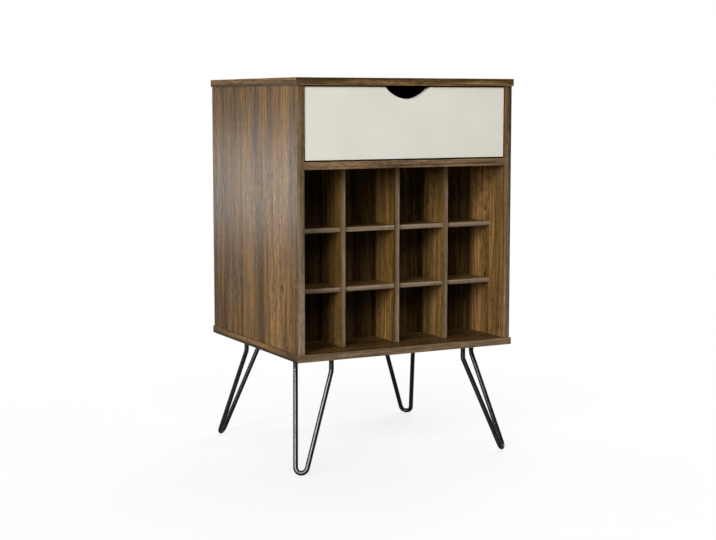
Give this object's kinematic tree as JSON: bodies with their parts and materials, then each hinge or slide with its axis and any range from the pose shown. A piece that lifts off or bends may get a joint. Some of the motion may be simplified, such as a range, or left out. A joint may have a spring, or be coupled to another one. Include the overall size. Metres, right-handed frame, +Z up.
{
  "type": "wine cabinet",
  "caption": "Wine cabinet on hairpin legs: walnut-look carcass, pale drawer with a finger scoop on roller slides, recessed egg-crate bottle rack.",
  "frame": {"origin": "on the floor under the middle of the cabinet", "axes": "+Z up, -Y out of the front, +X to the right of someone who faces the front"},
  "size_m": [0.5, 0.44, 0.787],
  "materials": {
    "walnut_board": "walnut-look laminate on board, satin",
    "rear_hardboard": "thin brown hardboard, matte",
    "pale_front": "warm off-white laminate on board, satin",
    "drawer_board": "pale laminate on board, matte",
    "black_steel": "black gloss paint on steel",
    "black_screw": "black screws",
    "rail_steel": "pale powder coat on bent sheet steel",
    "roller_plastic": "pale nylon",
    "zinc_steel": "zinc-plated steel",
    "cam_zinc": "die-cast zinc alloy, dull",
    "dowel_wood": "plain beech"
  },
  "bodies": {
    "cabinet": {"top_panel": "walnut_board", "bottom_panel": "walnut_board", "left_side_panel": "walnut_board", "right_side_panel": "walnut_board", "drawer_shelf": "walnut_board", "rack_back": "walnut_board", "left_divider": "walnut_board", "middle_divider": "walnut_board", "right_divider": "walnut_board", "lower_rack_shelf": "walnut_board", "upper_rack_shelf": "walnut_board", "back_panel": "rear_hardboard", "front_left_leg": "black_steel", "front_left_plate": "black_steel", "front_right_leg": "black_steel", "front_right_plate": "black_steel", "rear_left_leg": "black_steel", "rear_left_plate": "black_steel", "rear_right_leg": "black_steel", "rear_right_plate": "black_steel", "leg_screws": "black_screw", "left_cabinet_rail": "rail_steel", "right_cabinet_rail": "rail_steel", "carcass_cam_bolts": "zinc_steel", "cabinet_roller_pins": "zinc_steel", "cabinet_rail_screws": "zinc_steel", "back_nails": "zinc_steel", "carcass_cam_locks": "cam_zinc", "carcass_dowels": "dowel_wood", "rack_dowels": "dowel_wood"},
    "drawer": {"drawer_front": "pale_front", "drawer_left_side": "drawer_board", "drawer_right_side": "drawer_board", "drawer_back": "drawer_board", "drawer_bottom": "drawer_board", "drawer_cam_bolts": "zinc_steel", "drawer_cam_locks": "cam_zinc", "drawer_screws": "zinc_steel", "left_drawer_rail": "rail_steel", "right_drawer_rail": "rail_steel", "drawer_roller_pins": "zinc_steel", "drawer_rail_screws": "zinc_steel"},
    "left_cabinet_roller": {"left_cabinet_roller": "roller_plastic"},
    "right_cabinet_roller": {"right_cabinet_roller": "roller_plastic"},
    "left_drawer_roller": {"left_drawer_roller": "roller_plastic"},
    "right_drawer_roller": {"right_drawer_roller": "roller_plastic"}
  },
  "joints": [
    {"name": "drawer_slide", "type": "slide", "parent": "cabinet", "child": "drawer", "axis": [0, -1, 0], "range_m": [0, 0.26]},
    {"name": "left_cabinet_roller_turn", "type": "hinge", "parent": "cabinet", "child": "left_cabinet_roller", "pos_m": [-0.2265, -0.1845, 0.6485], "axis": [1, 0, 0], "range_deg": [0, 1753]},
    {"name": "right_cabinet_roller_turn", "type": "hinge", "parent": "cabinet", "child": "right_cabinet_roller", "pos_m": [0.2265, -0.1845, 0.6485], "axis": [1, 0, 0], "range_deg": [0, 1753]},
    {"name": "left_drawer_roller_turn", "type": "hinge", "parent": "drawer", "child": "left_drawer_roller", "pos_m": [-0.225, 0.1395, 0.647], "axis": [1, 0, 0], "range_deg": [0, 1753]},
    {"name": "right_drawer_roller_turn", "type": "hinge", "parent": "drawer", "child": "right_drawer_roller", "pos_m": [0.225, 0.1395, 0.647], "axis": [1, 0, 0], "range_deg": [0, 1753]}
  ],
  "couplings": [
    {"joint": "left_cabinet_roller_turn", "follows": "drawer_slide", "rad_per_m": 117.65},
    {"joint": "right_cabinet_roller_turn", "follows": "drawer_slide", "rad_per_m": 117.65},
    {"joint": "left_drawer_roller_turn", "follows": "drawer_slide", "rad_per_m": 117.65},
    {"joint": "right_drawer_roller_turn", "follows": "drawer_slide", "rad_per_m": 117.65}
  ]
}
